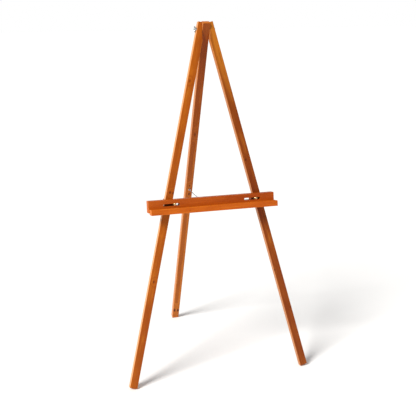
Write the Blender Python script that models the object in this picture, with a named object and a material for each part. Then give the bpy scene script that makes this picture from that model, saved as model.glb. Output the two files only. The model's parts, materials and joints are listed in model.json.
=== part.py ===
"""A wooden tripod easel.

Two splayed front legs and a folding rear leg hang on one bolt. A slotted tray board with a
front lip is clamped to the front legs, and a short chain ties it to the rear leg.
"""
import math

import bmesh
import bpy
from mathutils import Matrix, Vector

for leftover in list(bpy.data.objects):
    bpy.data.objects.remove(leftover, do_unlink=True)

# Driving dimensions, in metres and radians.
LEG_LENGTH = 1.658
STOCK_WIDTH = 0.035
STOCK_THICKNESS = 0.025
FRAME_LEAN = math.radians(8.4)      # how far the front frame leans back from upright
LEG_SPLAY = math.radians(13.9)      # each front leg's angle from the frame's centre line
REAR_LEAN = math.radians(19.4)      # how far the rear leg slants backwards
HEAD_HALF_SPREAD = 0.0161           # from the centre line to a front leg's axis at its top
HEAD_HEIGHT = 0.030                 # from the top bolt up to the front legs' square-cut ends
REAR_HEAD_HEIGHT = 0.033            # from the top bolt up to the rear leg's end
FIT_GAP = 0.0003                    # clearance between pieces that touch

BOLT_RADIUS = 0.003
BOLT_HOLE_RADIUS = BOLT_RADIUS + FIT_GAP
WASHER_RADIUS = 0.0075
WASHER_THICKNESS = 0.0015
SEAT_RADIUS = 0.0090                # spot face around the top bolt, square to the bolt
SEAT_DEPTH = 0.0025
NUT_RADIUS = 0.0055
NUT_HEIGHT = 0.0085
NUT_WING_SPAN = 0.0135
NUT_WING_RISE = 0.0060
NUT_WING_THICKNESS = 0.0022
BOLT_TAIL = 0.0040                  # thread left showing past a wing nut

BOARD_LENGTH = 0.589
BOARD_HEIGHT = 0.053
BOARD_THICKNESS = 0.035
BOARD_DROP = 0.7670                 # from the top bolt down the frame to the board's middle
BOARD_SHIFT = -0.0167               # the board stands a little left of the centre line
SLOT_LENGTH = 0.078
SLOT_HEIGHT = 0.0105
SLOT_OFFSET = 0.1895                # from the board's middle to each slot's middle
SLOT_LIFT = 0.0035                  # the slots run a little above the board's middle line
LIP_LENGTH = 0.589
LIP_HEIGHT = 0.025
LIP_DEPTH = 0.040
LIP_DROP = 0.7885
LIP_SHIFT = -0.0140
LIP_SCREWS = (("left", -0.225), ("middle", -0.031), ("right", 0.225))
SCREW_DROP = 0.7850
SCREW_RADIUS = 0.0019
SCREW_HEAD_RADIUS = 0.0038
SCREW_LENGTH = 0.055

CLAMP_HEAD_RADIUS = 0.0065
CLAMP_HEAD_HEIGHT = 0.0030
CLAMP_PLATE = 0.012                 # thickness of the clamp block behind the leg
CLAMP_HEEL = 0.010                  # how far the block reaches inwards past its bolt
CLAMP_HEIGHT = 0.030

EYE_WIRE = 0.00125
EYE_LOOP_RADIUS = 0.00475
EYE_STAND_OFF = 0.0080              # from the wood to the middle of the loop
EYE_THREAD = 0.0120
REAR_EYE_DROP = 0.827
TRAY_EYE_DROP = 0.785
RING_RADIUS = 0.0040
RING_WIRE = 0.0009
CHAIN_RADIUS = 0.0022
CHAIN_SAG = 0.011
CHAIN_START = 0.0075                # from an eye's wire to the first link beyond the ring
CHAIN_SPLIT = 0.434                 # where the two halves meet, as a share of the whole span
CHAIN_POINTS = 16

# Where the pieces stand, worked out from the sizes above. The frame's own axes have their
# origin on the top bolt, X to the right, Y back through the frame and Z up the frame.
HALF_STOCK = STOCK_THICKNESS / 2
BEVEL_X = STOCK_WIDTH / 2 + FIT_GAP
FRONT_LEG_FALL = LEG_LENGTH * math.cos(LEG_SPLAY) - HEAD_HEIGHT
FRONT_TOE = FRONT_LEG_FALL + STOCK_WIDTH / 2 * math.sin(LEG_SPLAY)
BOLT_Z = FRONT_TOE * math.cos(FRAME_LEAN) + HALF_STOCK * math.sin(FRAME_LEAN)
REAR_LEG_FALL = (BOLT_Z - HALF_STOCK * math.sin(REAR_LEAN)) / math.cos(REAR_LEAN)
FRONT_REACH = FRONT_TOE * math.sin(FRAME_LEAN) + HALF_STOCK * math.cos(FRAME_LEAN)
REAR_REACH = REAR_LEG_FALL * math.sin(REAR_LEAN) + HALF_STOCK * math.cos(REAR_LEAN)
BOLT_Y = (FRONT_REACH - REAR_REACH) / 2
SLOT_DROP = BOARD_DROP - SLOT_LIFT
BOARD_BACK = -HALF_STOCK - FIT_GAP
BOARD_FRONT = BOARD_BACK - BOARD_THICKNESS
LIP_BACK = BOARD_FRONT - FIT_GAP


def finish(name, colour, roughness, metallic):
    material = bpy.data.materials.new(name)
    material.use_nodes = True
    shader = material.node_tree.nodes["Principled BSDF"]
    shader.inputs["Base Color"].default_value = (*colour, 1.0)
    shader.inputs["Roughness"].default_value = roughness
    shader.inputs["Metallic"].default_value = metallic
    return material


def wood(name, colour):
    """Stained pine."""
    return finish(name, colour, 0.45, 0.0)


LEG_PINE = wood("leg_pine", (0.56, 0.18, 0.03))
REAR_PINE = wood("rear_pine", (0.40, 0.13, 0.03))
TRAY_PINE = wood("tray_pine", (0.47, 0.12, 0.02))
STEEL = finish("zinc_steel", (0.62, 0.63, 0.63), 0.35, 1.0)
BRASS = finish("brass", (0.75, 0.55, 0.28), 0.30, 1.0)


def empty(name, location=(0, 0, 0), rotation=(0, 0, 0), parent=None):
    pivot = bpy.data.objects.new(name, None)
    bpy.context.collection.objects.link(pivot)
    pivot.location = location
    pivot.rotation_euler = rotation
    pivot.parent = parent
    return pivot


def place(name, mesh, material, parent, location=(0, 0, 0)):
    piece = bpy.data.objects.new(name, mesh)
    bpy.context.collection.objects.link(piece)
    piece.location = location
    piece.parent = parent
    if material:
        mesh.materials.append(material)
    return piece


def prism(name, outline, near, far, axis="Y"):
    """A closed prism: an outline in the plane across `axis`, from near to far along it."""
    shape = bmesh.new()
    order = {"X": lambda a, b: (near, a, b), "Y": lambda a, b: (a, near, b),
             "Z": lambda a, b: (a, b, near)}[axis]
    face = shape.faces.new([shape.verts.new(order(a, b)) for a, b in outline])
    grown = bmesh.ops.extrude_face_region(shape, geom=[face])
    moved = [item for item in grown["geom"] if isinstance(item, bmesh.types.BMVert)]
    step = {"X": Vector((1, 0, 0)), "Y": Vector((0, 1, 0)), "Z": Vector((0, 0, 1))}[axis]
    bmesh.ops.translate(shape, verts=moved, vec=step * (far - near))
    bmesh.ops.recalc_face_normals(shape, faces=shape.faces)
    mesh = bpy.data.meshes.new(name)
    shape.to_mesh(mesh)
    shape.free()
    return mesh


def turned(name, profile, axis="Z", sides=32):
    """A solid of revolution. The profile's (radius, height) points start and end on the axis."""
    shape = bmesh.new()
    points = [shape.verts.new((radius, 0, height)) for radius, height in profile]
    edges = [shape.edges.new(pair) for pair in zip(points, points[1:])]
    bmesh.ops.spin(shape, geom=points + edges, cent=(0, 0, 0), axis=(0, 0, 1),
                   angle=math.tau, steps=sides, use_merge=True)
    bmesh.ops.remove_doubles(shape, verts=shape.verts, dist=1e-6)
    bmesh.ops.recalc_face_normals(shape, faces=shape.faces)
    turn = {"X": Matrix.Rotation(math.pi / 2, 4, "Y"), "Y": Matrix.Rotation(-math.pi / 2, 4, "X"),
            "Z": Matrix.Identity(4)}[axis]
    shape.transform(turn)
    mesh = bpy.data.meshes.new(name)
    shape.to_mesh(mesh)
    shape.free()
    mesh.shade_smooth()
    mesh.set_sharp_from_angle(angle=math.radians(35))
    return mesh


def rod_profile(radius, low, high):
    return [(0, low), (radius, low), (radius, high), (0, high)]


def cut(piece, cutter_mesh, location=(0, 0, 0)):
    """Subtract a hidden cutter, placed in the piece's own axes."""
    cutter = place(piece.name + "_cutter", cutter_mesh, None, piece, location)
    cutter.hide_render = True
    cutter.display_type = "WIRE"
    boolean = piece.modifiers.new("cut", "BOOLEAN")
    boolean.operation = "DIFFERENCE"
    boolean.object = cutter


def tube(name, points, radius, material, parent):
    """Round wire or chain outline along a path of points."""
    curve = bpy.data.curves.new(name, "CURVE")
    curve.dimensions = "3D"
    curve.bevel_depth = radius
    curve.bevel_resolution = 2
    curve.use_fill_caps = True
    spline = curve.splines.new("POLY")
    spline.points.add(len(points) - 1)
    for target, point in zip(spline.points, points):
        target.co = (*point, 1.0)
    curve.materials.append(material)
    piece = bpy.data.objects.new(name, curve)
    bpy.context.collection.objects.link(piece)
    piece.parent = parent
    return piece


# The front frame and the rear leg both turn about the top bolt.
frame = empty("frame_axes", (0, BOLT_Y, BOLT_Z), (-FRAME_LEAN, 0, 0))
rear = empty("rear_axes", (0, BOLT_Y, BOLT_Z), (REAR_LEAN, 0, 0))


def leg_axis_x(drop):
    """Distance from the centre line to a front leg's axis, `drop` below the top bolt."""
    return HEAD_HALF_SPREAD + (HEAD_HEIGHT + drop) * math.tan(LEG_SPLAY)


def front_leg_outline():
    """Half of the front frame, seen from the front: square ends and a bevelled inner head."""
    along = Vector((math.sin(LEG_SPLAY), -math.cos(LEG_SPLAY)))
    across = Vector((math.cos(LEG_SPLAY), math.sin(LEG_SPLAY))) * STOCK_WIDTH / 2
    top = Vector((HEAD_HALF_SPREAD, HEAD_HEIGHT))
    toe = top + along * LEG_LENGTH
    to_bevel = (top.x + across.x - BEVEL_X) / across.x
    bevel_top = top + across * (1 - to_bevel)
    inner = top - across
    bevel_foot = inner + along * ((BEVEL_X - inner.x) / along.x)
    return [top + across, toe + across, toe - across, bevel_foot, bevel_top]


def front_leg(name, side):
    outline = [(side * point.x, point.y) for point in front_leg_outline()]
    leg = place(name, prism(name, outline, -HALF_STOCK, HALF_STOCK), LEG_PINE, frame)
    outer_x = leg_axis_x(0) + STOCK_WIDTH / 2 / math.cos(LEG_SPLAY)
    seat_x = side * (outer_x - SEAT_DEPTH)
    hole = turned(name + "_hole", rod_profile(BOLT_HOLE_RADIUS, -0.1, 0.1), "X", 24)
    seat_ends = sorted((seat_x, seat_x + side * 0.02))
    seat = turned(name + "_seat", rod_profile(SEAT_RADIUS, *seat_ends), "X", 32)
    cut(leg, hole)
    cut(leg, seat)
    return abs(seat_x)


SEAT_X = front_leg("left_front_leg", -1)
front_leg("right_front_leg", 1)

rear_outline = [(-STOCK_WIDTH / 2, -REAR_LEG_FALL), (STOCK_WIDTH / 2, -REAR_LEG_FALL),
                (STOCK_WIDTH / 2, REAR_HEAD_HEIGHT), (-STOCK_WIDTH / 2, REAR_HEAD_HEIGHT)]
rear_leg = place("rear_leg", prism("rear_leg", rear_outline, -HALF_STOCK, HALF_STOCK),
                 REAR_PINE, rear)
cut(rear_leg, turned("rear_leg_hole", rod_profile(BOLT_HOLE_RADIUS, -0.1, 0.1), "X", 24))


def washer(name, near, axis, material, parent, location=(0, 0, 0)):
    """A flat ring from near towards the positive axis."""
    blank = turned(name, rod_profile(WASHER_RADIUS, near, near + WASHER_THICKNESS), axis, 32)
    piece = place(name, blank, material, parent, location)
    bore = turned(name + "_bore", rod_profile(BOLT_HOLE_RADIUS, near - 0.01, near + 0.02), axis, 24)
    cut(piece, bore)
    return piece


def wing_outline():
    """One side view of both wings: they spring from the hub and curl up and outwards."""
    half = [(0.70 * NUT_RADIUS, 0.33 * NUT_HEIGHT), (0.78 * NUT_WING_SPAN, 0.52 * NUT_HEIGHT),
            (NUT_WING_SPAN, 0.82 * NUT_HEIGHT),
            (NUT_WING_SPAN, NUT_HEIGHT + 0.55 * NUT_WING_RISE),
            (0.92 * NUT_WING_SPAN, NUT_HEIGHT + 0.90 * NUT_WING_RISE),
            (0.76 * NUT_WING_SPAN, NUT_HEIGHT + NUT_WING_RISE),
            (0.62 * NUT_WING_SPAN, NUT_HEIGHT + 0.62 * NUT_WING_RISE),
            (0.70 * NUT_RADIUS, 0.80 * NUT_HEIGHT)]
    return half + [(-a, b) for a, b in reversed(half)]


def wing_nut(name, parent, location, rotation, material):
    """A hub with two wings and a through bore, standing on its own XY plane."""
    hub = [(0, 0), (NUT_RADIUS, 0), (NUT_RADIUS, 0.35 * NUT_HEIGHT),
           (0.82 * NUT_RADIUS, NUT_HEIGHT), (0, NUT_HEIGHT)]
    nut = place(name, turned(name, hub), material, parent, location)
    nut.rotation_euler = rotation
    half = NUT_WING_THICKNESS / 2
    wings = place(name + "_wings", prism(name + "_wings", wing_outline(), -half, half), None, nut)
    wings.hide_render = True
    wings.display_type = "WIRE"
    union = nut.modifiers.new("wings", "BOOLEAN")
    union.operation = "UNION"
    union.object = wings
    cut(nut, turned(name + "_bore", rod_profile(BOLT_HOLE_RADIUS, -0.01, 0.03), "Z", 24))
    return nut


# The top bolt lies along X: its head is on the right, its wing nut on the left.
HEAD_X = SEAT_X + 2 * FIT_GAP + WASHER_THICKNESS
TOP_HEAD_HEIGHT = 0.0040
TOP_HEAD_RADIUS = 0.0058
TOP_END_X = HEAD_X + NUT_HEIGHT + BOLT_TAIL
top_profile = [(0, -TOP_END_X), (BOLT_RADIUS, -TOP_END_X), (BOLT_RADIUS, HEAD_X),
               (TOP_HEAD_RADIUS, HEAD_X), (TOP_HEAD_RADIUS, HEAD_X + 0.6 * TOP_HEAD_HEIGHT),
               (0.75 * TOP_HEAD_RADIUS, HEAD_X + TOP_HEAD_HEIGHT), (0, HEAD_X + TOP_HEAD_HEIGHT)]
place("top_bolt", turned("top_bolt", top_profile, "X"), STEEL, frame)
washer("top_bolt_washer", SEAT_X + FIT_GAP, "X", STEEL, frame)
washer("top_nut_washer", -SEAT_X - FIT_GAP - WASHER_THICKNESS, "X", STEEL, frame)
wing_nut("top_wing_nut", frame, (-HEAD_X, 0, 0), (0, -math.pi / 2, 0), STEEL)

# The tray slides up and down the front of the legs.
tray = empty("tray_axes", (0, 0, -BOARD_DROP), (0, 0, 0), frame)


def slab_outline(length, height, shift, lift):
    return [(shift - length / 2, lift - height / 2), (shift + length / 2, lift - height / 2),
            (shift + length / 2, lift + height / 2), (shift - length / 2, lift + height / 2)]


def slot_outline(centre):
    """A stadium: two half circles joined by straight sides."""
    radius = SLOT_HEIGHT / 2
    reach = SLOT_LENGTH / 2 - radius
    turn = [math.pi * step / 10 - math.pi / 2 for step in range(11)]
    right = [(centre + reach + radius * math.cos(a), SLOT_LIFT + radius * math.sin(a)) for a in turn]
    left = [(centre - reach - radius * math.cos(a), SLOT_LIFT - radius * math.sin(a)) for a in turn]
    return right + left


board_outline = slab_outline(BOARD_LENGTH, BOARD_HEIGHT, BOARD_SHIFT, 0)
board = place("tray_board", prism("tray_board", board_outline, BOARD_FRONT, BOARD_BACK),
              TRAY_PINE, tray)
for side in (-1, 1):
    slot = slot_outline(BOARD_SHIFT + side * SLOT_OFFSET)
    cut(board, prism("slot", slot, BOARD_FRONT - 0.01, BOARD_BACK + 0.01))

lip_outline = slab_outline(LIP_LENGTH, LIP_HEIGHT, LIP_SHIFT, BOARD_DROP - LIP_DROP)
lip = place("tray_lip", prism("tray_lip", lip_outline, LIP_BACK - LIP_DEPTH, LIP_BACK),
            TRAY_PINE, tray)

# Three countersunk screws go through the board from behind and hold the lip.
SCREW_TIP = BOARD_BACK - SCREW_LENGTH
SCREW_CONE = BOARD_BACK - (SCREW_HEAD_RADIUS - SCREW_RADIUS)


def screw_profile(slack):
    """Countersunk screw, head up; the slack turns the same outline into its hole."""
    return [(0, SCREW_TIP - slack), (0.3 * SCREW_RADIUS + slack, SCREW_TIP - slack),
            (SCREW_RADIUS + slack, SCREW_TIP + 0.004), (SCREW_RADIUS + slack, SCREW_CONE),
            (SCREW_HEAD_RADIUS + slack, BOARD_BACK), (SCREW_HEAD_RADIUS + slack, BOARD_BACK + slack),
            (0, BOARD_BACK + slack)]


def closed_screw_profile():
    outline = screw_profile(0)
    return outline[:5] + [(0, BOARD_BACK)]


for label, offset in LIP_SCREWS:
    spot = (offset, 0, BOARD_DROP - SCREW_DROP)
    screw = turned("lip_screw", closed_screw_profile(), "Y", 20)
    place("lip_screw_" + label, screw, STEEL, tray, spot)
    for wooden in (board, lip):
        cut(wooden, turned("screw_hole", screw_profile(FIT_GAP), "Y", 20), spot)


def clamp_block_outline(side):
    """A plate across the back of the leg, with a heel that reaches the board beside the bolt."""
    inner_face = BOLT_HOLE_RADIUS
    leg_out = inner_face + STOCK_WIDTH
    plate_front = HALF_STOCK + FIT_GAP
    plate_back = plate_front + CLAMP_PLATE
    heel_front = BOARD_BACK + FIT_GAP
    half = [(-CLAMP_HEEL, heel_front), (-inner_face, heel_front), (-inner_face, plate_front),
            (leg_out, plate_front), (leg_out, plate_back), (-CLAMP_HEEL, plate_back)]
    return [(side * a, b) for a, b in half]


def clamp(label, side):
    """Bolt, block, washer and wing nut that pinch one front leg against the board."""
    bolt_x = leg_axis_x(SLOT_DROP) - (STOCK_WIDTH / 2 + BOLT_HOLE_RADIUS) / math.cos(LEG_SPLAY)
    pivot = empty(label + "_clamp_axes", (side * bolt_x, 0, -SLOT_DROP),
                  (0, -side * LEG_SPLAY, 0), frame)
    half = CLAMP_HEIGHT / 2
    name = label + "_clamp_block"
    block = place(name, prism(name, clamp_block_outline(side), -half, half, "Z"), TRAY_PINE, pivot)
    cut(block, turned(name + "_hole", rod_profile(BOLT_HOLE_RADIUS, -0.05, 0.05), "Y", 24))
    washer_y = HALF_STOCK + CLAMP_PLATE + 2 * FIT_GAP
    nut_y = washer_y + WASHER_THICKNESS + FIT_GAP
    washer(label + "_clamp_washer", washer_y, "Y", STEEL, pivot)
    wing_nut(label + "_clamp_wing_nut", pivot, (0, nut_y, 0), (-math.pi / 2, 0, 0), STEEL)
    head = BOARD_FRONT - FIT_GAP
    dome = [(CLAMP_HEAD_RADIUS * math.cos(a), head - CLAMP_HEAD_HEIGHT * (0.3 + 0.7 * math.sin(a)))
            for a in (math.radians(step) for step in (0, 22, 45, 68))]
    tip = nut_y + NUT_HEIGHT + BOLT_TAIL
    profile = [(0, head - CLAMP_HEAD_HEIGHT)] + dome[::-1]
    profile += [(CLAMP_HEAD_RADIUS, head), (BOLT_RADIUS, head), (BOLT_RADIUS, tip), (0, tip)]
    name = label + "_clamp_bolt"
    place(name, turned(name, profile, "Y"), BRASS, pivot)


clamp("left", -1)
clamp("right", 1)


def eye_points():
    """A screw eye bent from one wire: thread along Z, then a loop in the XZ plane."""
    stem_top = EYE_STAND_OFF - EYE_LOOP_RADIUS
    stem = [(0, 0, -EYE_THREAD), (0, 0, -EYE_THREAD / 2), (0, 0, 0), (0, 0, stem_top * 0.5)]
    start = math.radians(-90)
    sweep = math.radians(312)
    loop = []
    for step in range(21):
        angle = start + sweep * step / 20
        loop.append((EYE_LOOP_RADIUS * math.cos(angle), 0,
                     EYE_STAND_OFF + EYE_LOOP_RADIUS * math.sin(angle)))
    return stem + loop


def screw_eye(name, parent, location, rotation, wooden):
    eye = tube(name, eye_points(), EYE_WIRE, STEEL, parent)
    eye.location = location
    eye.rotation_euler = rotation
    bore = turned(name + "_bore", rod_profile(EYE_WIRE + FIT_GAP, -EYE_THREAD - FIT_GAP, 0.01),
                  "Z", 20)
    cutter_axis = Matrix.Rotation(rotation[0], 4, "X")
    bore.transform(cutter_axis)
    cut(wooden, bore, Vector(location) - wooden.location)


EYE_REACH = EYE_STAND_OFF + EYE_LOOP_RADIUS
screw_eye("rear_leg_eye", rear, (0, -HALF_STOCK, -REAR_EYE_DROP), (math.pi / 2, 0, 0), rear_leg)
tray_eye_z = BOARD_DROP - TRAY_EYE_DROP
screw_eye("tray_eye", tray, (0, BOARD_BACK, tray_eye_z), (-math.pi / 2, 0, 0), board)

# The chain hangs in the easel's middle plane, from the rear eye's wire to the tray eye's.
ROOT = Vector((0, BOLT_Y, BOLT_Z))
REAR_HOOK = ROOT + Matrix.Rotation(REAR_LEAN, 3, "X") @ Vector(
    (0, -HALF_STOCK - EYE_REACH, -REAR_EYE_DROP))
TRAY_HOOK = ROOT + Matrix.Rotation(-FRAME_LEAN, 3, "X") @ Vector(
    (0, BOARD_BACK + EYE_REACH, -TRAY_EYE_DROP))
SPAN = (TRAY_HOOK - REAR_HOOK).length


def chain_point(share):
    """A shallow parabola between the two eyes."""
    drop = 4 * CHAIN_SAG * share * (1 - share)
    return REAR_HOOK.lerp(TRAY_HOOK, share) - Vector((0, 0, drop))


def chain_half(name, start, end, hook):
    """The outline of one half of the chain, in world axes, hung from its own eye."""
    pivot = empty(name + "_axes", hook)
    shares = [start + (end - start) * step / (CHAIN_POINTS - 1) for step in range(CHAIN_POINTS)]
    tube(name, [chain_point(share) - hook for share in shares], CHAIN_RADIUS, STEEL, pivot)


def chain_ring(name, hook, towards):
    """The round end link: it hangs on the eye's wire and turns about it."""
    inside = RING_RADIUS - RING_WIRE
    offset = inside - EYE_WIRE - FIT_GAP
    centre = (towards - hook).normalized() * offset
    pivot = empty(name + "_axes", hook)
    circle = [(0, centre.y + RING_RADIUS * math.cos(math.tau * step / 24),
               centre.z + RING_RADIUS * math.sin(math.tau * step / 24)) for step in range(24)]
    ring = tube(name, circle, RING_WIRE, STEEL, pivot)
    ring.data.splines[0].use_cyclic_u = True


START_SHARE = CHAIN_START / SPAN
SPLIT_GAP = FIT_GAP / SPAN
chain_ring("rear_chain_ring", REAR_HOOK, chain_point(2 * START_SHARE))
chain_ring("tray_chain_ring", TRAY_HOOK, chain_point(1 - 2 * START_SHARE))
chain_half("chain_rear_half", START_SHARE, CHAIN_SPLIT - SPLIT_GAP, REAR_HOOK)
chain_half("chain_front_half", CHAIN_SPLIT + SPLIT_GAP, 1 - START_SHARE, TRAY_HOOK)
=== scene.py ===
import json
import math
import bmesh
import bpy
from mathutils import Matrix, Vector


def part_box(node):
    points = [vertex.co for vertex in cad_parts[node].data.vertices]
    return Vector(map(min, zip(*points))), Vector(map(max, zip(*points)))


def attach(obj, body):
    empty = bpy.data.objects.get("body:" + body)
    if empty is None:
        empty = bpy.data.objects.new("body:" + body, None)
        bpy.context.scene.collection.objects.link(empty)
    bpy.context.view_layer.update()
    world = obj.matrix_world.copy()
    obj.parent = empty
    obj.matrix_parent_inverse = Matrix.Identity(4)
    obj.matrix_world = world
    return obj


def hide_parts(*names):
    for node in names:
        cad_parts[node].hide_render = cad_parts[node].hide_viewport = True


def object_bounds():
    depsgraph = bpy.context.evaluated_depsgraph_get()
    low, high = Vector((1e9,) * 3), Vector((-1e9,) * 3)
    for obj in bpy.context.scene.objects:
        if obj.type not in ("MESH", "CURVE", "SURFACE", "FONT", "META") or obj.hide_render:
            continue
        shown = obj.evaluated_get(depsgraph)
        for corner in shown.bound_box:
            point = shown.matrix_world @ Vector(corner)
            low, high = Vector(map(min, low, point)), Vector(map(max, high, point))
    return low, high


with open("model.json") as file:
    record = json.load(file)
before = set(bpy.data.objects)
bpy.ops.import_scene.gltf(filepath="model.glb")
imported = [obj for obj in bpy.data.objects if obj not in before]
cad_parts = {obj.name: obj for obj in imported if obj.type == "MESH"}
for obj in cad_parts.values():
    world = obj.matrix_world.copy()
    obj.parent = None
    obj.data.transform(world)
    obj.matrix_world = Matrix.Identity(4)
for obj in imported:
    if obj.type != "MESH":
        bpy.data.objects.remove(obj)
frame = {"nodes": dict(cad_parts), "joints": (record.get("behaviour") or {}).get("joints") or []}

cad_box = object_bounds()

# The camera stands a little over four metres off, in front and to the left of the easel, at
# about the height of its head and tilted gently down, as for a plain shop picture.
lens = bpy.data.cameras.new("camera")
lens.lens = 74.3
lens.sensor_width = 36.0
lens.clip_start = 0.05
lens.clip_end = 60.0
camera = bpy.data.objects.new("camera", lens)
bpy.context.collection.objects.link(camera)
camera.location = (-1.178, -3.856, 1.754)
camera.rotation_euler = (math.radians(90 - 14.5), 0, math.radians(-17.86))
bpy.context.scene.camera = camera

# The floor is one sheet of matt white paper, wide enough to run out of sight on every side.
# It isn't part of the easel.
paper = bpy.data.materials.new("matt_white_paper")
paper.use_nodes = True
sheet = paper.node_tree.nodes["Principled BSDF"]
sheet.inputs["Base Color"].default_value = (0.94, 0.94, 0.94, 1)
sheet.inputs["Roughness"].default_value = 0.9
sheet.inputs["Specular IOR Level"].default_value = 0.1
floor_mesh = bpy.data.meshes.new("floor")
floor_mesh.from_pydata([(-30, -30, 0), (30, -30, 0), (30, 30, 0), (-30, 30, 0)], [], [(0, 1, 2, 3)])
floor_mesh.transform(Matrix.Translation((0, 0, cad_box[0].z)))
floor_mesh.materials.append(paper)
floor = bpy.data.objects.new("floor", floor_mesh)
bpy.context.collection.objects.link(floor)

# One broad soft lamp stands high to the left and a little in front, so the left faces are
# bright and the tray shades the legs below it. The white room gives the rest, evenly.
lamp = bpy.data.lights.new("key_light", "SUN")
lamp.energy = 3.7
lamp.angle = math.radians(20)
lamp.color = (1.0, 0.98, 0.95)
key = bpy.data.objects.new("key_light", lamp)
bpy.context.collection.objects.link(key)
key.rotation_euler = Vector((0.64, 0.42, -0.64)).to_track_quat("-Z", "Y").to_euler()
room = bpy.data.worlds.new("white_room")
room.use_nodes = True
wall = room.node_tree.nodes["Background"]
wall.inputs["Color"].default_value = (1, 1, 1, 1)
wall.inputs["Strength"].default_value = 0.42
beyond = room.node_tree.nodes.new("ShaderNodeBackground")
beyond.inputs["Color"].default_value = (1, 1, 1, 1)
beyond.inputs["Strength"].default_value = 1.0
direct = room.node_tree.nodes.new("ShaderNodeLightPath")
either = room.node_tree.nodes.new("ShaderNodeMixShader")
room.node_tree.links.new(direct.outputs["Is Camera Ray"], either.inputs[0])
room.node_tree.links.new(wall.outputs[0], either.inputs[1])
room.node_tree.links.new(beyond.outputs[0], either.inputs[2])
room.node_tree.links.new(either.outputs[0], room.node_tree.nodes["World Output"].inputs["Surface"])
bpy.context.scene.world = room
bpy.context.scene.view_settings.view_transform = "Standard"

# The two front legs are planed pine battens, bevelled where they meet at the head, stained orange-brown
# and lacquered. The stain is dark in the knots and thin on the sawn ends. Their planed sides carry a
# painted highlight, painted brightest on the left leg, and the arrises are paler from rubbing wear and a
# painted highlight.
joints = {joint["name"]: joint for joint in frame["joints"]}
bolt = Vector(joints["rear_leg_fold"]["pos_m"])
up_frame = Vector(joints["tray_slide"]["axis"])
frame_lean = math.atan2(up_frame.y, up_frame.z)
front_axes = Matrix.Translation(bolt) @ Matrix.Rotation(-frame_lean, 4, "X")
leg_slope = Vector(joints["left_clamp_slide"]["axis"])
leg_splay = math.atan2(leg_slope.x, leg_slope.dot(up_frame))
head_half_spread = 0.0161
head_height = 0.030
stock_width = 0.035
stock_thickness = 0.025
front_leg_length = 1.658


def eased_copy(node, name, round_off, shortest):
    """The wooden node's own shape with its long arrises eased round by hand."""
    shape = bmesh.new()
    shape.from_mesh(frame["nodes"][node].data)
    bmesh.ops.remove_doubles(shape, verts=shape.verts, dist=1e-6)
    bmesh.ops.dissolve_limit(shape, angle_limit=math.radians(0.5), verts=shape.verts,
                             edges=shape.edges)
    arrises = [edge for edge in shape.edges if edge.is_manifold
               and edge.calc_face_angle() > math.radians(25) and edge.calc_length() > shortest]
    bmesh.ops.bevel(shape, geom=arrises, offset=round_off, segments=3, profile=0.5,
                    affect="EDGES", clamp_overlap=True)
    mesh = bpy.data.meshes.new(name)
    shape.to_mesh(mesh)
    shape.free()
    mesh.shade_smooth()
    mesh.set_sharp_from_angle(angle=math.radians(40))
    piece = bpy.data.objects.new(name, mesh)
    bpy.context.collection.objects.link(piece)
    even = piece.modifiers.new("even_shading", "WEIGHTED_NORMAL")
    even.keep_sharp = True
    return piece


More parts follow.
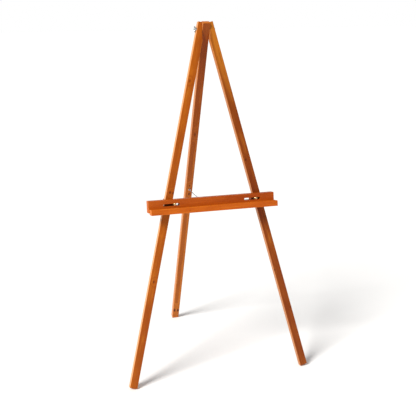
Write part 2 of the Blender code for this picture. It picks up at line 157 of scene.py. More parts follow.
def stained_pine(name, axes, size, colours, pith, knots, seed, side_highlight=None, fade=None):
    """Stained pine in the piece's own axes: growth rings about a pith, knots and pores.

    `size` is the width, thickness and length. `knots` lists (x, along, radius, darkness).
    The side colour is a painted highlight laid on the planed sides. `fade` is (from, to, deep, pale): the
    colour starts deeper by one share and ends paler by the other along that length."""
    material = bpy.data.materials.new(name)
    material.use_nodes = True
    tree = material.node_tree
    shader = tree.nodes["Principled BSDF"]

    def node(kind, **settings):
        made = tree.nodes.new(kind)
        for key, value in settings.items():
            setattr(made, key, value)
        return made

    def feed(socket, value):
        if isinstance(value, bpy.types.NodeSocket):
            tree.links.new(value, socket)
        else:
            socket.default_value = value

    def sum_of(operation, first, second=0.0, third=0.0, clamp=False):
        made = node("ShaderNodeMath", operation=operation, use_clamp=clamp)
        for socket, value in zip(made.inputs, (first, second, third)):
            feed(socket, value)
        return made.outputs[0]

    def noise(vector, scale, detail=3.0, rough=0.55, w=0.0):
        made = node("ShaderNodeTexNoise", noise_dimensions="4D")
        feed(made.inputs["Vector"], vector)
        feed(made.inputs["W"], w)
        feed(made.inputs["Scale"], scale)
        feed(made.inputs["Detail"], detail)
        feed(made.inputs["Roughness"], rough)
        return made.outputs["Fac"]

    def stretched(vector, scale):
        made = node("ShaderNodeVectorMath", operation="MULTIPLY")
        feed(made.inputs[0], vector)
        feed(made.inputs[1], scale)
        return made.outputs[0]

    def blend(share, first, second, mode="MIX"):
        made = node("ShaderNodeMix", data_type="RGBA", blend_type=mode)
        feed(made.inputs[0], share)
        feed(made.inputs[6], (*first, 1.0) if isinstance(first, tuple) else first)
        feed(made.inputs[7], (*second, 1.0) if isinstance(second, tuple) else second)
        return made.outputs[2]

    def ease(value, low, high):
        made = node("ShaderNodeMapRange", interpolation_type="SMOOTHSTEP")
        for key, item in (("Value", value), ("From Min", low), ("From Max", high)):
            feed(made.inputs[key], item)
        return made.outputs[0]

    coordinates = node("ShaderNodeTexCoord")
    own = node("ShaderNodeMapping", vector_type="TEXTURE")
    feed(own.inputs["Vector"], coordinates.outputs["Object"])
    feed(own.inputs["Location"], axes.to_translation())
    feed(own.inputs["Rotation"], axes.to_euler())
    own = own.outputs["Vector"]
    split = node("ShaderNodeSeparateXYZ")
    feed(split.inputs[0], own)
    x, y, z = split.outputs

    pale, middle, deep, knot_dark = colours
    wander = noise(stretched(own, (2.0, 2.0, 1.6)), 1.0, 2.0, 0.5, seed)
    wander_x = sum_of("MULTIPLY_ADD", wander, 0.020, -0.010)
    ripple = noise(stretched(own, (30, 30, 9)), 1.0, 2.0, 0.5, seed + 3)
    ripple = sum_of("MULTIPLY_ADD", ripple, 0.0022, -0.0011)

    swell = None
    stain_spots = None
    for knot_x, knot_z, radius, darkness in knots:
        dx = sum_of("SUBTRACT", x, knot_x)
        dz = sum_of("MULTIPLY", sum_of("SUBTRACT", z, knot_z), 0.62)
        distance = sum_of("SQRT", sum_of("ADD", sum_of("MULTIPLY", dx, dx),
                                         sum_of("MULTIPLY", dz, dz)))
        rough_edge = sum_of("MULTIPLY_ADD", noise(stretched(own, (260, 260, 160)), 1.0, 2.0,
                                                  0.5, seed + knot_z), 0.4 * radius, -0.2 * radius)
        distance = sum_of("ADD", distance, rough_edge)
        spot = sum_of("MULTIPLY", ease(distance, radius * 1.25, radius * 0.45), darkness)
        push = sum_of("MULTIPLY", ease(distance, radius * 5.0, 0.0), radius * 1.8)
        stain_spots = spot if stain_spots is None else sum_of("MAXIMUM", stain_spots, spot)
        swell = push if swell is None else sum_of("ADD", swell, push)

    from_pith_x = sum_of("ADD", sum_of("SUBTRACT", x, pith[0]), wander_x)
    from_pith_y = sum_of("SUBTRACT", y, pith[1])
    ring = sum_of("SQRT", sum_of("ADD", sum_of("MULTIPLY", from_pith_x, from_pith_x),
                                 sum_of("MULTIPLY", from_pith_y, from_pith_y)))
    ring = sum_of("ADD", ring, ripple)
    if swell is not None:
        ring = sum_of("ADD", ring, swell)
    growth = sum_of("FRACT", sum_of("DIVIDE", ring, 0.0044))
    late = sum_of("MULTIPLY", ease(growth, 0.35, 0.92), ease(growth, 1.0, 0.95))
    fibre = noise(stretched(own, (1100, 1100, 22)), 1.0, 3.0, 0.65, seed + 5)
    streaks = noise(stretched(own, (230, 230, 8)), 1.0, 2.0, 0.6, seed + 4)
    pores = ease(noise(stretched(own, (2600, 2600, 70)), 1.0, 1.0, 0.5, seed + 6), 0.60, 0.72)
    blotch = noise(stretched(own, (9, 9, 3.2)), 1.0, 4.0, 0.62, seed + 8)
    cloud = noise(stretched(own, (28, 28, 11)), 1.0, 3.0, 0.6, seed + 9)

    tone = sum_of("ADD", ease(blotch, 0.30, 0.70), sum_of("MULTIPLY_ADD", cloud, 0.5, -0.25),
                  clamp=True)
    colour = blend(tone, deep, middle)
    colour = blend(sum_of("MULTIPLY", ease(blotch, 0.50, 0.85), 0.8), colour, pale)
    if fade is not None:
        along = ease(z, fade[0], fade[1])
        colour = blend(sum_of("MULTIPLY_ADD", along, -fade[2], fade[2]), colour, deep)
        colour = blend(sum_of("MULTIPLY", along, fade[3]), colour, pale)
    colour = blend(sum_of("MULTIPLY", ease(streaks, 0.56, 0.72), 0.75), colour, deep)
    colour = blend(sum_of("MULTIPLY", ease(streaks, 0.44, 0.30), 0.55), colour, pale)
    colour = blend(sum_of("MULTIPLY", late, 0.60), colour, deep)
    colour = blend(sum_of("MULTIPLY", ease(fibre, 0.50, 0.75), 0.35), colour, deep)
    colour = blend(sum_of("MULTIPLY", pores, 0.35), colour, knot_dark)
    if stain_spots is not None:
        colour = blend(stain_spots, colour, knot_dark)

    # The planed sides carry a painted highlight, the sawn ends took the stain thinly, and the arrises are
    # paler with rubbing wear and a painted highlight.
    if side_highlight is not None:
        side_way = node("ShaderNodeVectorMath", operation="DOT_PRODUCT")
        feed(side_way.inputs[0], coordinates.outputs["Normal"])
        feed(side_way.inputs[1], axes.to_3x3() @ Vector((1, 0, 0)))
        planed = ease(sum_of("ABSOLUTE", side_way.outputs["Value"]), 0.60, 0.90)
        colour = blend(sum_of("MULTIPLY", planed, 0.75), colour, side_highlight)
    length_way = axes.to_3x3() @ Vector((0, 0, 1))
    facing = node("ShaderNodeVectorMath", operation="DOT_PRODUCT")
    feed(facing.inputs[0], coordinates.outputs["Normal"])
    feed(facing.inputs[1], length_way)
    end_grain = ease(sum_of("ABSOLUTE", facing.outputs["Value"]), 0.75, 0.95)
    colour = blend(sum_of("MULTIPLY", end_grain, 0.60), colour, pale)
    near_side = sum_of("SUBTRACT", size[0] / 2, sum_of("ABSOLUTE", x))
    near_face = sum_of("SUBTRACT", size[1] / 2, sum_of("ABSOLUTE", y))
    # The arrises are blended paler: partly rubbing wear, partly a painted highlight where the edges catch
    # the lamp.
    arris = ease(sum_of("MAXIMUM", near_side, near_face), 0.0030, 0.0006)
    rubbed_and_highlit_arris = sum_of("MULTIPLY", arris, ease(noise(stretched(own, (50, 50, 18)), 1.0, 3.0, 0.6,
                                                  seed + 12), 0.35, 0.65))
    colour = blend(sum_of("MULTIPLY", rubbed_and_highlit_arris, 0.45), colour, pale)
    feed(shader.inputs["Base Color"], colour)
    polish = sum_of("MULTIPLY_ADD", cloud, 0.16, 0.28)
    polish = sum_of("ADD", polish, sum_of("MULTIPLY", end_grain, 0.2))
    feed(shader.inputs["Roughness"], polish)
    shader.inputs["Specular IOR Level"].default_value = 0.16
    shader.inputs["Coat Weight"].default_value = 0.04
    shader.inputs["Coat Roughness"].default_value = 0.20
    relief = node("ShaderNodeBump")
    relief.inputs["Strength"].default_value = 0.25
    relief.inputs["Distance"].default_value = 0.0004
    feed(relief.inputs["Height"], sum_of("ADD", sum_of("MULTIPLY", late, 0.5), fibre))
    feed(shader.inputs["Normal"], relief.outputs["Normal"])
    return material


leg_colours = {
    "left": ((0.580, 0.190, 0.010), (0.455, 0.112, 0.003), (0.295, 0.055, 0.001),
             (0.070, 0.008, 0.001)),
    "right": ((0.500, 0.160, 0.012), (0.285, 0.060, 0.003), (0.170, 0.026, 0.001),
              (0.050, 0.006, 0.001)),
}
# These side colours are painted highlights, brightest on the left leg, whose outer side faces the lamp.
side_highlights = {"left": (0.860, 0.420, 0.165), "right": (0.600, 0.240, 0.080)}
leg_fades = {"left": (-1.45, -0.60, 0.35, 0.0), "right": (-0.50, -0.05, 0.10, 0.85)}
leg_marks = {
    "left": ((-0.0022, -0.765, 0.0045, 0.8), (0.0117, -0.765, 0.0036, 0.8), (0.000, -1.170, 0.0040, 0.65),
             (-0.007, -0.264, 0.0040, 0.5)),
    "right": ((-0.0075, -0.635, 0.0045, 0.7), (-0.014, -1.170, 0.0040, 0.65),
              (0.012, -1.366, 0.0035, 0.5)),
}
for label, side in (("left", -1), ("right", 1)):
    leg_axes = (front_axes @ Matrix.Translation((side * head_half_spread, 0, head_height))
                @ Matrix.Rotation(-side * leg_splay, 4, "Y"))
    leg = eased_copy(label + "_front_leg", label + "_leg_batten", 0.0017, 0.012)
    leg.data.materials.clear()
    leg.data.materials.append(stained_pine(
        label + "_leg_pine", leg_axes, (stock_width, stock_thickness, front_leg_length),
        leg_colours[label],
        (side * 0.006, 0.055), leg_marks[label], 2.0 + side, side_highlights[label],
        leg_fades[label]))
    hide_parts(label + "_front_leg")
    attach(leg, "front_frame")

# The rear leg is one batten of the same stock. It hangs between the front legs on the top bolt, stands in
# their shade, and shows dark ringed knots. That shade is painted into its colour, which deepens towards
# the head and lifts towards the foot, and its planed sides carry a painted highlight.
rear_lean = math.radians(19.4)
rear_leg_length = 1.7
rear_axes = Matrix.Translation(bolt) @ Matrix.Rotation(rear_lean, 4, "X")
rear_colours = ((0.620, 0.190, 0.020), (0.460, 0.110, 0.007), (0.270, 0.052, 0.003),
                (0.060, 0.008, 0.001))
rear_batten = eased_copy("rear_leg", "rear_leg_batten", 0.0017, 0.012)
rear_batten.data.materials.clear()
rear_batten.data.materials.append(stained_pine(
    "rear_leg_pine", rear_axes, (stock_width, stock_thickness, rear_leg_length), rear_colours,
    (-0.004, -0.060), ((0.002, -0.858, 0.0050, 0.85), (0.0, -0.809, 0.0040, 0.7),
                       (0.0, -0.523, 0.0060, 0.6), (-0.010, -1.606, 0.0070, 0.9),
                       (0.009, -1.608, 0.0065, 0.85)), 9.0, (0.640, 0.260, 0.090),
    (-0.10, -1.50, 0.75, 0.6)))
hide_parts("rear_leg")
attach(rear_batten, "rear_leg")

# The tray board is a red-brown pine board with a long slot at each end for the clamp bolts.
# The lip is a thicker, lighter strip screwed along its lower front edge.


board_depth = 0.035
fit_gap = 0.0003


def lengthwise_axes(node):
    """Axes on the middle of a piece: X down its height, Y to its back, Z along its length."""
    low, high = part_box(node)
    return (Matrix.Translation((low + high) / 2) @ Matrix.Rotation(-frame_lean, 4, "X")
            @ Matrix.Rotation(math.pi / 2, 4, "Y"))


board_colours = ((0.640, 0.150, 0.009), (0.450, 0.084, 0.003), (0.290, 0.042, 0.001),
                 (0.080, 0.009, 0.001))
board = eased_copy("tray_board", "tray_board_pine", 0.0012, 0.012)
board.data.materials.clear()
board.data.materials.append(stained_pine(
    "tray_board_stain", lengthwise_axes("tray_board"), (0.053, 0.035, 0.589),
    board_colours, (0.050, 0.004), ((0.0, 0.210, 0.0035, 0.4),), 17.0, None,
    (0.10, -0.29, 0.20, 0.45)))
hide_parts("tray_board")
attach(board, "tray")

lip_colours = ((0.740, 0.215, 0.016), (0.610, 0.136, 0.006), (0.420, 0.074, 0.002),
               (0.110, 0.014, 0.001))
lip = eased_copy("tray_lip", "tray_lip_strip", 0.0014, 0.012)
lip.data.materials.clear()
lip.data.materials.append(stained_pine(
    "tray_lip_stain", lengthwise_axes("tray_lip"), (0.025, 0.040, 0.589),
    lip_colours, (0.045, -0.006), ((0.0, -0.120, 0.0028, 0.35),), 23.0))
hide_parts("tray_lip")
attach(lip, "tray")

# The clamp blocks are short offcuts of the same board, notched to hook round the leg. Their colours are
# the board's painted darker, as painted shade for their place behind the legs.
shaded_block_colours = ((0.380, 0.090, 0.010), (0.280, 0.055, 0.006), (0.180, 0.030, 0.003),
                 (0.060, 0.009, 0.001))
for label, side in (("left", -1), ("right", 1)):
    block_low, block_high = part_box(label + "_clamp_block")
    block_axes = (Matrix.Translation((block_low + block_high) / 2)
                  @ Matrix.Rotation(-frame_lean, 4, "X") @ Matrix.Rotation(-side * leg_splay, 4, "Y")
                  @ Matrix.Rotation(math.pi / 2, 4, "Y"))
    block = eased_copy(label + "_clamp_block", label + "_clamp_offcut", 0.0008, 0.006)
    block.data.materials.clear()
    block.data.materials.append(stained_pine(
        label + "_block_shaded_stain", block_axes, (0.030, 0.0373, 0.0483), shaded_block_colours,
        (0.040, 0.010), ((0.004, -0.004, 0.0028, 0.4),), 31.0 + side))
    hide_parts(label + "_clamp_block")
    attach(block, label + "_clamp")

# The top bolt is a zinc-plated machine screw with a slotted round head on the right, and its
# tail shows a rolled thread past the wing nut on the left. Both washers are stamped.
nut_seat = Vector(joints["top_nut_turn"]["pos_m"])
nut_reach = abs(nut_seat.x)
washer_thickness = 0.0015
bolt_radius = 0.003
nut_radius, nut_height = 0.0055, 0.0085
bolt_tail = 0.0040


def plated_metal(name, colour, roughness, tint):
    """Plated or polished metal: slight patches in its colour and polish, and fine scratches."""
    patch_scale, scratch_scale = 420.0, 2520.0
    material = bpy.data.materials.new(name)
    material.use_nodes = True
    tree = material.node_tree
    shader = tree.nodes["Principled BSDF"]
    shader.inputs["Metallic"].default_value = 1.0
    place = tree.nodes.new("ShaderNodeTexCoord")
    patches = tree.nodes.new("ShaderNodeTexNoise")
    patches.inputs["Scale"].default_value = patch_scale
    patches.inputs["Detail"].default_value = 4.0
    tree.links.new(place.outputs["Object"], patches.inputs["Vector"])
    mixed = tree.nodes.new("ShaderNodeMix")
    mixed.data_type = "RGBA"
    mixed.inputs[6].default_value = (*colour, 1)
    mixed.inputs[7].default_value = (*tint, 1)
    tree.links.new(patches.outputs["Fac"], mixed.inputs[0])
    tree.links.new(mixed.outputs[2], shader.inputs["Base Color"])
    polish = tree.nodes.new("ShaderNodeMapRange")
    polish.inputs["From Min"].default_value = 0.3
    polish.inputs["From Max"].default_value = 0.7
    polish.inputs["To Min"].default_value = roughness - 0.07
    polish.inputs["To Max"].default_value = roughness + 0.10
    tree.links.new(patches.outputs["Fac"], polish.inputs["Value"])
    tree.links.new(polish.outputs["Result"], shader.inputs["Roughness"])
    scratches = tree.nodes.new("ShaderNodeTexNoise")
    scratches.inputs["Scale"].default_value = scratch_scale
    tree.links.new(place.outputs["Object"], scratches.inputs["Vector"])
    relief = tree.nodes.new("ShaderNodeBump")
    relief.inputs["Strength"].default_value = 0.12
    relief.inputs["Distance"].default_value = 0.0001
    tree.links.new(scratches.outputs["Fac"], relief.inputs["Height"])
    tree.links.new(relief.outputs["Normal"], shader.inputs["Normal"])
    return material


def lathe(shape, profile, sides=40):
    """Adds a closed turning about Z to the shape; the profile starts and ends on the axis."""
    rows = []
    for radius, height in profile:
        if radius == 0:
            rows.append([shape.verts.new((0, 0, height))])
        else:
            rows.append([shape.verts.new((radius * math.cos(math.tau * k / sides),
                                          radius * math.sin(math.tau * k / sides), height))
                         for k in range(sides)])
    for low, high in zip(rows, rows[1:]):
        for k in range(sides):
            n = (k + 1) % sides
            if len(low) == 1:
                shape.faces.new((low[0], high[n], high[k]))
            elif len(high) == 1:
                shape.faces.new((low[k], low[n], high[0]))
            else:
                shape.faces.new((low[k], low[n], high[n], high[k]))


def threaded_rod(shape, radius, start, end, thread_from, pitch=0.001, sides=24):
    """A rod along Z, plain up to `thread_from` and then cut with a helical thread."""
    heights = [start + 0.0004, thread_from]
    step = pitch / 6
    height = thread_from + step
    while height < end - 0.0006:
        heights.append(height)
        height += step
    heights.append(end - 0.0006)
    rows = [[shape.verts.new((0, 0, start))]]
    rows.append([shape.verts.new((0.86 * radius * math.cos(math.tau * k / sides),
                                  0.86 * radius * math.sin(math.tau * k / sides), start))
                 for k in range(sides)])
    for height in heights:
        row = []
        for k in range(sides):
            turn = (height / pitch - k / sides) % 1.0
            depth = 0.13 * (1 - abs(2 * turn - 1)) if height > thread_from else 0.0
            reach = radius * (1 - depth)
            row.append(shape.verts.new((reach * math.cos(math.tau * k / sides),
                                        reach * math.sin(math.tau * k / sides), height)))
        rows.append(row)
    rows.append([shape.verts.new((0.76 * radius * math.cos(math.tau * k / sides),
                                  0.76 * radius * math.sin(math.tau * k / sides), end))
                 for k in range(sides)])
    rows.append([shape.verts.new((0, 0, end))])
    for low, high in zip(rows, rows[1:]):
        for k in range(sides):
            n = (k + 1) % sides
            if len(low) == 1:
                shape.faces.new((low[0], high[n], high[k]))
            elif len(high) == 1:
                shape.faces.new((low[k], low[n], high[0]))
            else:
                shape.faces.new((low[k], low[n], high[n], high[k]))


def fitted(shape, name, place, material, body, node):
    """Turns a shape into a finished piece standing at its place in the easel."""
    bmesh.ops.recalc_face_normals(shape, faces=shape.faces)
    shape.transform(place)
    mesh = bpy.data.meshes.new(name)
    shape.to_mesh(mesh)
    shape.free()
    mesh.shade_smooth()
    mesh.set_sharp_from_angle(angle=math.radians(38))
    mesh.materials.append(material)
    piece = bpy.data.objects.new(name, mesh)
    bpy.context.collection.objects.link(piece)
    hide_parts(node)
    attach(piece, body)


zinc = plated_metal("zinc_plate", (0.40, 0.42, 0.44), 0.34, (0.56, 0.58, 0.58))
brass = plated_metal("yellow_brass", (0.80, 0.58, 0.26), 0.24, (0.88, 0.70, 0.38))
along_bolt = front_axes @ Matrix.Rotation(math.pi / 2, 4, "Y")

# The rod is cut with its thread upwards and then turned end for end, so the thread is at the
# left and the head can be added at the right.
top_bolt = bmesh.new()
threaded_rod(top_bolt, bolt_radius, -nut_reach, nut_reach + nut_height + bolt_tail, nut_reach)
bmesh.ops.transform(top_bolt, matrix=Matrix.Rotation(math.pi, 4, "Y"), verts=top_bolt.verts)
head_rise, head_radius = 0.0040, 0.0058
dome = [(head_radius * math.cos(a), nut_reach + head_rise * (0.45 + 0.55 * math.sin(a)))
        for a in (math.radians(t) for t in (0, 18, 36, 54, 70))]
slot_floor = nut_reach + 0.55 * head_rise
lathe(top_bolt, [(0, nut_reach), (head_radius - 0.0002, nut_reach),
                 (head_radius, nut_reach + 0.0002)]
      + dome + [(0.0012, nut_reach + head_rise), (0.0010, slot_floor), (0, slot_floor)], 40)
fitted(top_bolt, "top_bolt_screw", along_bolt, zinc, "front_frame", "top_bolt")


def washer_shape(near):
    ring = bmesh.new()
    inner, outer, ease_off = 0.0033, 0.0075, 0.00025
    far = near + washer_thickness
    section = [(inner, near + ease_off), (inner + ease_off, near), (outer - ease_off, near),
               (outer, near + ease_off), (outer, far - ease_off), (outer - ease_off, far),
               (inner + ease_off, far), (inner, far - ease_off)]
    sides = 44
    rows = [[ring.verts.new((r * math.cos(math.tau * k / sides), r * math.sin(math.tau * k / sides), h))
             for k in range(sides)] for r, h in section]
    for low, high in zip(rows, rows[1:] + rows[:1]):
        for k in range(sides):
            n = (k + 1) % sides
            ring.faces.new((low[k], low[n], high[n], high[k]))
    return ring


for name, node in (("right_washer", "top_bolt_washer"), ("left_washer", "top_nut_washer")):
    fitted(washer_shape(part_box(node)[0].x), name, along_bolt, zinc, "front_frame", node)

# A pressed wing nut pulls the head together: a tapered hub with a collar at its foot and two
# rounded wings that lean out from it.


def wing_nut_shape():
    nut = bmesh.new()
    bore = 0.0033
    hub = [(bore, 0.0003), (bore + 0.0003, 0), (nut_radius - 0.0003, 0), (nut_radius, 0.0003),
           (nut_radius, 0.26 * nut_height), (0.95 * nut_radius, 0.34 * nut_height),
           (0.84 * nut_radius, 0.90 * nut_height), (0.79 * nut_radius, 0.97 * nut_height),
           (0.72 * nut_radius, nut_height), (bore + 0.0003, nut_height), (bore, nut_height - 0.0003)]
    sides = 40
    rows = [[nut.verts.new((r * math.cos(math.tau * k / sides), r * math.sin(math.tau * k / sides), h))
             for k in range(sides)] for r, h in hub]
    for low, high in zip(rows, rows[1:] + rows[:1]):
        for k in range(sides):
            n = (k + 1) % sides
            nut.faces.new((low[k], low[n], high[n], high[k]))
    for side in (-1, 1):
        middle = [(0.66, 0.50), (0.95, 0.56), (1.30, 0.66), (1.66, 0.80), (1.98, 0.98), (2.12, 1.16)]
        # The wing is a rounded plate: a path from the hub outwards with a width at each step.
        path = [Vector((side * a * nut_radius, 0, b * nut_height)) for a, b in middle]
        widths = (0.0030, 0.0031, 0.0035, 0.0040, 0.0037, 0.0020)
        thick = (0.0012, 0.00115, 0.0011, 0.0011, 0.0010, 0.0005)
        rows = []
        for index, (point, wide, deep) in enumerate(zip(path, widths, thick)):
            before, after = path[max(index - 1, 0)], path[min(index + 1, len(path) - 1)]
            ahead = (after - before).normalized()
            across = Vector((-ahead.z, 0, ahead.x)) * side
            rows.append([nut.verts.new(point + across * wide * math.cos(math.tau * k / 16)
                                       + Vector((0, deep * math.sin(math.tau * k / 16), 0)))
                         for k in range(16)])
        for low, high in zip(rows, rows[1:]):
            for k in range(16):
                n = (k + 1) % 16
                nut.faces.new((low[k], low[n], high[n], high[k]))
        nut.faces.new(rows[0])
        nut.faces.new(rows[-1])
    return nut


fitted(wing_nut_shape(), "top_wings", front_axes @ Matrix.Translation((-nut_reach, 0, 0))
       @ Matrix.Rotation(-math.pi / 2, 4, "Y"), zinc, "top_nut", "top_wing_nut")

# Three countersunk cross-recess screws come through the board from behind into the lip.
for label in ("left", "middle", "right"):
    screw_low, screw_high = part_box("lip_screw_" + label)
    middle = front_axes.inverted() @ ((screw_low + screw_high) / 2)
    board_back = -stock_thickness / 2 - fit_gap
    screw = bmesh.new()
    lathe(screw, [(0, -0.0550), (0.0004, -0.0545), (0.0016, -0.0505), (0.0019, -0.0100),
                  (0.0019, -0.0019), (0.0037, -0.00015), (0.0038, 0), (0.0016, 0),
                  (0.0013, -0.0013), (0, -0.0016)], 28)
    place = (front_axes @ Matrix.Translation((middle.x, board_back, middle.z))
             @ Matrix.Rotation(-math.pi / 2, 4, "X"))
    fitted(screw, "countersunk_screw_" + label, place, zinc, "tray", "lip_screw_" + label)

# Each clamp pinches a front leg between the board and its block: a domed brass carriage bolt
# from the front, a washer and a wing nut behind.
for label, side in (("left", -1), ("right", 1)):
    nut_at = Vector(joints[label + "_nut_turn"]["pos_m"])
    local = front_axes.inverted() @ nut_at
    clamp_axes = (front_axes @ Matrix.Translation((local.x, 0, local.z))
                  @ Matrix.Rotation(-side * leg_splay, 4, "Y") @ Matrix.Rotation(-math.pi / 2, 4, "X"))
    head_seat = -stock_thickness / 2 - fit_gap - board_depth - fit_gap
    bolt_shape = bmesh.new()
    threaded_rod(bolt_shape, bolt_radius, head_seat, local.y + nut_height + bolt_tail,
                 head_seat + 0.045)
    crown = [(0.0065 * math.cos(a), head_seat - 0.0030 * (0.3 + 0.7 * math.sin(a)))
             for a in (math.radians(t) for t in (0, 15, 30, 45, 60, 75))]
    lathe(bolt_shape, [(0, head_seat - 0.0030)] + crown[::-1]
          + [(0.0065, head_seat - 0.0003), (0.0063, head_seat), (0, head_seat)], 44)
    fitted(bolt_shape, label + "_carriage_bolt", clamp_axes, brass, label + "_clamp",
           label + "_clamp_bolt")
    fitted(washer_shape(local.y - fit_gap - washer_thickness), label + "_back_washer", clamp_axes,
           zinc, label + "_clamp", label + "_clamp_washer")
    fitted(wing_nut_shape(), label + "_wings", clamp_axes @ Matrix.Translation((0, 0, local.y)),
           zinc, label + "_nut", label + "_clamp_wing_nut")

# A screw eye is bent from one wire and screwed into the rear leg, and another into the back of
# the tray board. Each holds a round end ring of the chain.
rear_hook = Vector(joints["chain_rear_turn"]["pos_m"])
tray_hook = Vector(joints["chain_front_turn"]["pos_m"])
eye_wire, eye_loop, eye_stand_off, eye_thread = 0.00125, 0.00475, 0.0080, 0.0120
bright_wire = plated_metal("bright_wire", (0.30, 0.32, 0.37), 0.28, (0.44, 0.47, 0.53))


def wire_along(shape, path, radii, closed=False, sides=16):
    """Sweeps a round wire along a path of points that lies in one plane."""
    normal = Vector((0, 0, 0))
    for a, b, c in zip(path, path[1:], path[2:]):
        normal += (b - a).cross(c - b)
    normal.normalize()
    rows = []
    for index, (point, radius) in enumerate(zip(path, radii)):
        if closed:
            before, after = path[index - 1], path[(index + 1) % len(path)]
        else:
            before, after = path[max(index - 1, 0)], path[min(index + 1, len(path) - 1)]
        out = normal.cross((after - before).normalized())
        rows.append([shape.verts.new(point + radius * (out * math.cos(math.tau * k / sides)
                                                       + normal * math.sin(math.tau * k / sides)))
                     for k in range(sides)])
    for low, high in zip(rows, rows[1:] + (rows[:1] if closed else [])):
        for k in range(sides):
            n = (k + 1) % sides
            shape.faces.new((low[k], low[n], high[n], high[k]))
    if not closed:
        shape.faces.new(rows[0])
        shape.faces.new(rows[-1])


def screw_eye_shape():
    stem_top = eye_stand_off - eye_loop
    path, radii = [], []
    for step in range(49):
        height = -eye_thread + eye_thread * step / 48
        path.append(Vector((0.00001 * (step % 2), 0, height)))
        cut = 0.10 * (step % 2) if 4 < step < 40 else 0.0
        radii.append(eye_wire * (1 - cut) * min(1.0, 0.35 + step * 0.14))
    for step in range(1, 4):
        path.append(Vector((0, 0, stem_top * step / 6)))
        radii.append(eye_wire)
    for step in range(41):
        angle = math.radians(-90 + 312 * step / 40)
        path.append(Vector((eye_loop * math.cos(angle), 0, eye_stand_off + eye_loop * math.sin(angle))))
        radii.append(eye_wire)
    eye = bmesh.new()
    wire_along(eye, path, radii)
    return eye


rear_foot = rear_axes.inverted() @ rear_hook
rear_eye_axes = (rear_axes @ Matrix.Translation((0, -stock_thickness / 2, rear_foot.z))
                 @ Matrix.Rotation(math.pi / 2, 4, "X"))
fitted(screw_eye_shape(), "rear_screw_eye", rear_eye_axes, zinc, "rear_leg", "rear_leg_eye")
tray_foot = front_axes.inverted() @ tray_hook
tray_eye_axes = (front_axes @ Matrix.Translation((0, -stock_thickness / 2 - fit_gap, tray_foot.z))
                 @ Matrix.Rotation(-math.pi / 2, 4, "X"))
fitted(screw_eye_shape(), "tray_screw_eye", tray_eye_axes, zinc, "tray", "tray_eye")

ring_radius, ring_wire = 0.0040, 0.0009
for label, body in (("rear", "chain_rear"), ("tray", "chain_front")):
    ring_low, ring_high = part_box(label + "_chain_ring")
    centre = (ring_low + ring_high) / 2
    circle = [centre + Vector((0, ring_radius * math.cos(math.tau * k / 40),
                               ring_radius * math.sin(math.tau * k / 40))) for k in range(40)]
    ring = bmesh.new()
    wire_along(ring, circle, [ring_wire] * 40, closed=True)
    fitted(ring, label + "_end_ring", Matrix.Identity(4), bright_wire, body,
           label + "_chain_ring")

# The chain keeps the legs from sliding apart. It has 57 bright oval links, each turned a
# quarter turn from the last, and hangs in a shallow curve between its two end rings.
chain_sag = 0.011
link_count, rear_links = 57, 25
first_link = 0.00765


def chain_spot(share):
    return rear_hook.lerp(tray_hook, share) - Vector((0, 0, 4 * chain_sag * share * (1 - share)))


walk = [chain_spot(step / 2000) for step in range(2001)]
run = [0.0]
for a, b in zip(walk, walk[1:]):
    run.append(run[-1] + (b - a).length)


def chain_at(distance):
    step = next(k for k, length in enumerate(run) if length >= distance)
    return walk[step]


link_pitch = (run[-1] - 2 * first_link) / (link_count - 1)

link_tree = bpy.data.node_groups.new("oval_links", "GeometryNodeTree")
for title, kind in (("Path", "NodeSocketGeometry"), ("Links", "NodeSocketInt"),
                    ("First quarter turn", "NodeSocketInt"), ("Wire radius", "NodeSocketFloat"),
                    ("Bend radius", "NodeSocketFloat"), ("Half straight", "NodeSocketFloat"),
                    ("Metal", "NodeSocketMaterial")):
    link_tree.interface.new_socket(title, in_out="INPUT", socket_type=kind)
link_tree.interface.new_socket("Chain", in_out="OUTPUT", socket_type="NodeSocketGeometry")


def link_node(kind, **settings):
    made = link_tree.nodes.new(kind)
    for key, value in settings.items():
        setattr(made, key, value)
    return made


def join(source, target):
    link_tree.links.new(source, target)


given = link_node("NodeGroupInput").outputs
path_curve = link_node("GeometryNodeMeshToCurve")
join(given["Path"], path_curve.inputs["Mesh"])
stations = link_node("GeometryNodeCurveToPoints", mode="COUNT")
join(path_curve.outputs["Curve"], stations.inputs["Curve"])
join(given["Links"], stations.inputs["Count"])
oval = link_node("GeometryNodeCurvePrimitiveCircle")
oval.inputs["Resolution"].default_value = 20
join(given["Bend radius"], oval.inputs["Radius"])
here = link_node("GeometryNodeInputPosition")
parts = link_node("ShaderNodeSeparateXYZ")
join(here.outputs["Position"], parts.inputs[0])
side_of = link_node("ShaderNodeMath", operation="SIGN")
join(parts.outputs["X"], side_of.inputs[0])
stretch = link_node("ShaderNodeMath", operation="MULTIPLY")
join(side_of.outputs[0], stretch.inputs[0])
join(given["Half straight"], stretch.inputs[1])
shift = link_node("ShaderNodeCombineXYZ")
join(stretch.outputs[0], shift.inputs["X"])
stretched_oval = link_node("GeometryNodeSetPosition")
join(oval.outputs["Curve"], stretched_oval.inputs["Geometry"])
join(shift.outputs[0], stretched_oval.inputs["Offset"])
wire_round = link_node("GeometryNodeCurvePrimitiveCircle")
wire_round.inputs["Resolution"].default_value = 8
join(given["Wire radius"], wire_round.inputs["Radius"])
link_shape = link_node("GeometryNodeCurveToMesh")
join(stretched_oval.outputs["Geometry"], link_shape.inputs["Curve"])
join(wire_round.outputs["Curve"], link_shape.inputs["Profile Curve"])
faced = link_node("FunctionNodeAlignRotationToVector", axis="X")
join(stations.outputs["Tangent"], faced.inputs["Vector"])
count = link_node("GeometryNodeInputIndex")
total = link_node("ShaderNodeMath", operation="ADD")
join(count.outputs[0], total.inputs[0])
join(given["First quarter turn"], total.inputs[1])
quarter = link_node("ShaderNodeMath", operation="MULTIPLY")
join(total.outputs[0], quarter.inputs[0])
quarter.inputs[1].default_value = math.pi / 2
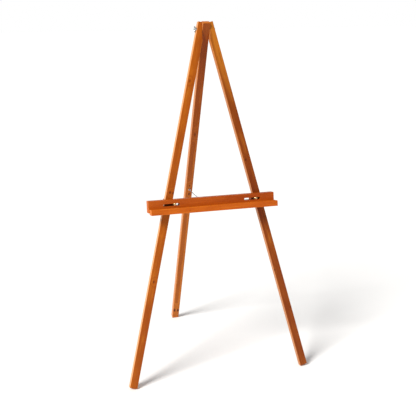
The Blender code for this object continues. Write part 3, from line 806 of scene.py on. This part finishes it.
twist = link_node("FunctionNodeAxisAngleToRotation")
twist.inputs["Axis"].default_value = (1, 0, 0)
join(quarter.outputs[0], twist.inputs["Angle"])
turned = link_node("FunctionNodeRotateRotation", rotation_space="LOCAL")
join(faced.outputs["Rotation"], turned.inputs["Rotation"])
join(twist.outputs["Rotation"], turned.inputs["Rotate By"])
strung = link_node("GeometryNodeInstanceOnPoints")
join(stations.outputs["Points"], strung.inputs["Points"])
join(link_shape.outputs["Mesh"], strung.inputs["Instance"])
join(turned.outputs["Rotation"], strung.inputs["Rotation"])
solid_links = link_node("GeometryNodeRealizeInstances")
join(strung.outputs["Instances"], solid_links.inputs["Geometry"])
smooth = link_node("GeometryNodeSetShadeSmooth")
join(solid_links.outputs["Geometry"], smooth.inputs["Geometry"])
plated = link_node("GeometryNodeSetMaterial")
join(smooth.outputs["Geometry"], plated.inputs["Geometry"])
join(given["Metal"], plated.inputs["Material"])
result = link_node("NodeGroupOutput")
join(plated.outputs["Geometry"], result.inputs["Chain"])

socket_ids = {item.name: item.identifier for item in link_tree.interface.items_tree
              if item.item_type == "SOCKET" and item.in_out == "INPUT"}
for label, first, last, body in (("rear", 0, rear_links - 1, "chain_rear"),
                                 ("front", rear_links, link_count - 1, "chain_front")):
    spots = [chain_at(first_link + link_pitch * (first + (last - first) * k / 60))
             for k in range(61)]
    strand_mesh = bpy.data.meshes.new(label + "_chain_path")
    strand_mesh.from_pydata(spots, [(k, k + 1) for k in range(60)], [])
    strand = bpy.data.objects.new(label + "_chain_path", strand_mesh)
    bpy.context.collection.objects.link(strand)
    links = strand.modifiers.new("oval_links", "NODES")
    links.node_group = link_tree
    for title, value in (("Links", last - first + 1), ("First quarter turn", first % 2),
                         ("Wire radius", 0.00065), ("Bend radius", 0.00165),
                         ("Half straight", 0.00220), ("Metal", bright_wire)):
        links[socket_ids[title]] = value
    shown = strand.evaluated_get(bpy.context.evaluated_depsgraph_get())
    chain_mesh = bpy.data.meshes.new_from_object(shown)
    chain_mesh.name = label + "_chain_links"
    bpy.data.objects.remove(strand)
    chain = bpy.data.objects.new(label + "_chain_links", chain_mesh)
    bpy.context.collection.objects.link(chain)
    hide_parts("chain_" + label + "_half")
    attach(chain, body)
